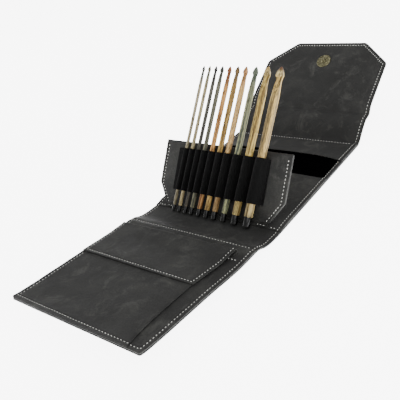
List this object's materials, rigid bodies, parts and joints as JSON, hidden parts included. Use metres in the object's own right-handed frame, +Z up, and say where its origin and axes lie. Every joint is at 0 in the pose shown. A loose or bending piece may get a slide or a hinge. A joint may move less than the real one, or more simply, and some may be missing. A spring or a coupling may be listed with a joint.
{
  "type": "crochet hook set in a folding case",
  "caption": "Folding leather-like case whose standing leaf holds graded wooden crochet hooks in elastic loops, with screw sockets for cables, a cord pocket and a snap flap.",
  "frame": {"origin": "centre of the middle panel's underside, on the table", "axes": "+Y along the open case from the front panel to the closing flap, +X to the right seen from the front panel, +Z up"},
  "size_m": [0.17, 0.503, 0.1349],
  "materials": {
    "charcoal_leather": "matt, softly mottled, with pale stitching",
    "board": "grey fibreboard, sealed inside",
    "elastic": "black ribbed elastic",
    "black_lining": "matt black lining",
    "antique_brass": "antique, satin",
    "black_metal": "gloss black",
    "hook_wood_01": "dyed, fine grained, satin varnish",
    "hook_wood_02": "dyed, fine grained, satin varnish",
    "hook_wood_03": "dyed, fine grained, satin varnish",
    "hook_wood_04": "dyed, fine grained, satin varnish",
    "hook_wood_05": "dyed, fine grained, satin varnish",
    "hook_wood_06": "dyed, fine grained, satin varnish",
    "hook_wood_07": "dyed, fine grained, satin varnish",
    "hook_wood_08": "dyed, fine grained, satin varnish",
    "hook_wood_09": "dyed, fine grained, satin varnish",
    "hook_wood_10": "dyed, fine grained, satin varnish"
  },
  "bodies": {
    "middle_panel": {"middle_cover": "charcoal_leather", "middle_board": "board", "middle_lining": "charcoal_leather", "pocket_lining": "black_lining", "middle_pocket": "charcoal_leather", "leaf_seam": "charcoal_leather", "retaining_strip": "charcoal_leather"},
    "near_spine": {"near_spine_cover": "charcoal_leather", "near_spine_lining": "charcoal_leather"},
    "front_panel": {"front_cover": "charcoal_leather", "front_board": "board", "front_lining": "charcoal_leather", "cord_pocket": "charcoal_leather", "pocket_flap_root": "charcoal_leather", "pocket_flap": "charcoal_leather", "snap_seat": "antique_brass", "snap_seat_washer": "antique_brass"},
    "far_spine": {"far_spine_cover": "charcoal_leather", "far_spine_lining": "charcoal_leather"},
    "closing_flap": {"flap_cover": "charcoal_leather", "flap_lining": "charcoal_leather", "snap_boss": "antique_brass", "snap_cap": "antique_brass"},
    "leaf": {"leaf_back": "charcoal_leather", "leaf_board": "board", "leaf_front": "charcoal_leather", "elastic_band": "elastic"},
    "hook_01": {"hook_01_shaft": "hook_wood_01", "hook_01_socket": "black_metal"},
    "hook_02": {"hook_02_shaft": "hook_wood_02", "hook_02_socket": "black_metal"},
    "hook_03": {"hook_03_shaft": "hook_wood_03", "hook_03_socket": "black_metal"},
    "hook_04": {"hook_04_shaft": "hook_wood_04", "hook_04_socket": "black_metal"},
    "hook_05": {"hook_05_shaft": "hook_wood_05", "hook_05_socket": "black_metal"},
    "hook_06": {"hook_06_shaft": "hook_wood_06", "hook_06_socket": "black_metal"},
    "hook_07": {"hook_07_shaft": "hook_wood_07", "hook_07_socket": "black_metal"},
    "hook_08": {"hook_08_shaft": "hook_wood_08", "hook_08_socket": "black_metal"},
    "hook_09": {"hook_09_shaft": "hook_wood_09", "hook_09_socket": "black_metal"},
    "hook_10": {"hook_10_shaft": "hook_wood_10", "hook_10_socket": "black_metal"}
  },
  "joints": [
    {"name": "near_spine_fold", "type": "hinge", "parent": "middle_panel", "child": "near_spine", "pos_m": [0, -0.097, 0.001], "axis": [1, 0, 0], "range_deg": [-79.21, 0]},
    {"name": "front_panel_fold", "type": "hinge", "parent": "near_spine", "child": "front_panel", "pos_m": [0, -0.129, 0.0071], "axis": [1, 0, 0], "range_deg": [-93.8, 0]},
    {"name": "leaf_fold", "type": "hinge", "parent": "middle_panel", "child": "leaf", "pos_m": [0, -0.086, 0.0049], "axis": [1, 0, 0], "range_deg": [-52.01, 0]},
    {"name": "far_spine_fold", "type": "hinge", "parent": "middle_panel", "child": "far_spine", "pos_m": [0, 0.088, 0.001], "axis": [-1, 0, 0], "range_deg": [-73.66, 0]},
    {"name": "closing_flap_fold", "type": "hinge", "parent": "far_spine", "child": "closing_flap", "pos_m": [0, 0.12112, 0.02551], "axis": [-1, 0, 0], "range_deg": [-75.34, 0]},
    {"name": "hook_01_slide", "type": "slide", "parent": "leaf", "child": "hook_01", "axis": [0.0532, 0.6148, 0.7869], "range_m": [0, 0.14]},
    {"name": "hook_02_slide", "type": "slide", "parent": "leaf", "child": "hook_02", "axis": [0.0532, 0.6148, 0.7869], "range_m": [0, 0.14]},
    {"name": "hook_03_slide", "type": "slide", "parent": "leaf", "child": "hook_03", "axis": [0.0532, 0.6148, 0.7869], "range_m": [0, 0.14]},
    {"name": "hook_04_slide", "type": "slide", "parent": "leaf", "child": "hook_04", "axis": [0.0532, 0.6148, 0.7869], "range_m": [0, 0.14]},
    {"name": "hook_05_slide", "type": "slide", "parent": "leaf", "child": "hook_05", "axis": [0.0532, 0.6148, 0.7869], "range_m": [0, 0.14]},
    {"name": "hook_06_slide", "type": "slide", "parent": "leaf", "child": "hook_06", "axis": [0.0532, 0.6148, 0.7869], "range_m": [0, 0.14]},
    {"name": "hook_07_slide", "type": "slide", "parent": "leaf", "child": "hook_07", "axis": [0.0532, 0.6148, 0.7869], "range_m": [0, 0.14]},
    {"name": "hook_08_slide", "type": "slide", "parent": "leaf", "child": "hook_08", "axis": [0.0532, 0.6148, 0.7869], "range_m": [0, 0.14]},
    {"name": "hook_09_slide", "type": "slide", "parent": "leaf", "child": "hook_09", "axis": [0.0532, 0.6148, 0.7869], "range_m": [0, 0.14]},
    {"name": "hook_10_slide", "type": "slide", "parent": "leaf", "child": "hook_10", "axis": [0.0532, 0.6148, 0.7869], "range_m": [0, 0.14]}
  ],
  "couplings": [
    {"joint": "front_panel_fold", "follows": "near_spine_fold", "ratio": 1.1841},
    {"joint": "leaf_fold", "follows": "near_spine_fold", "ratio": 0.6565}
  ]
}
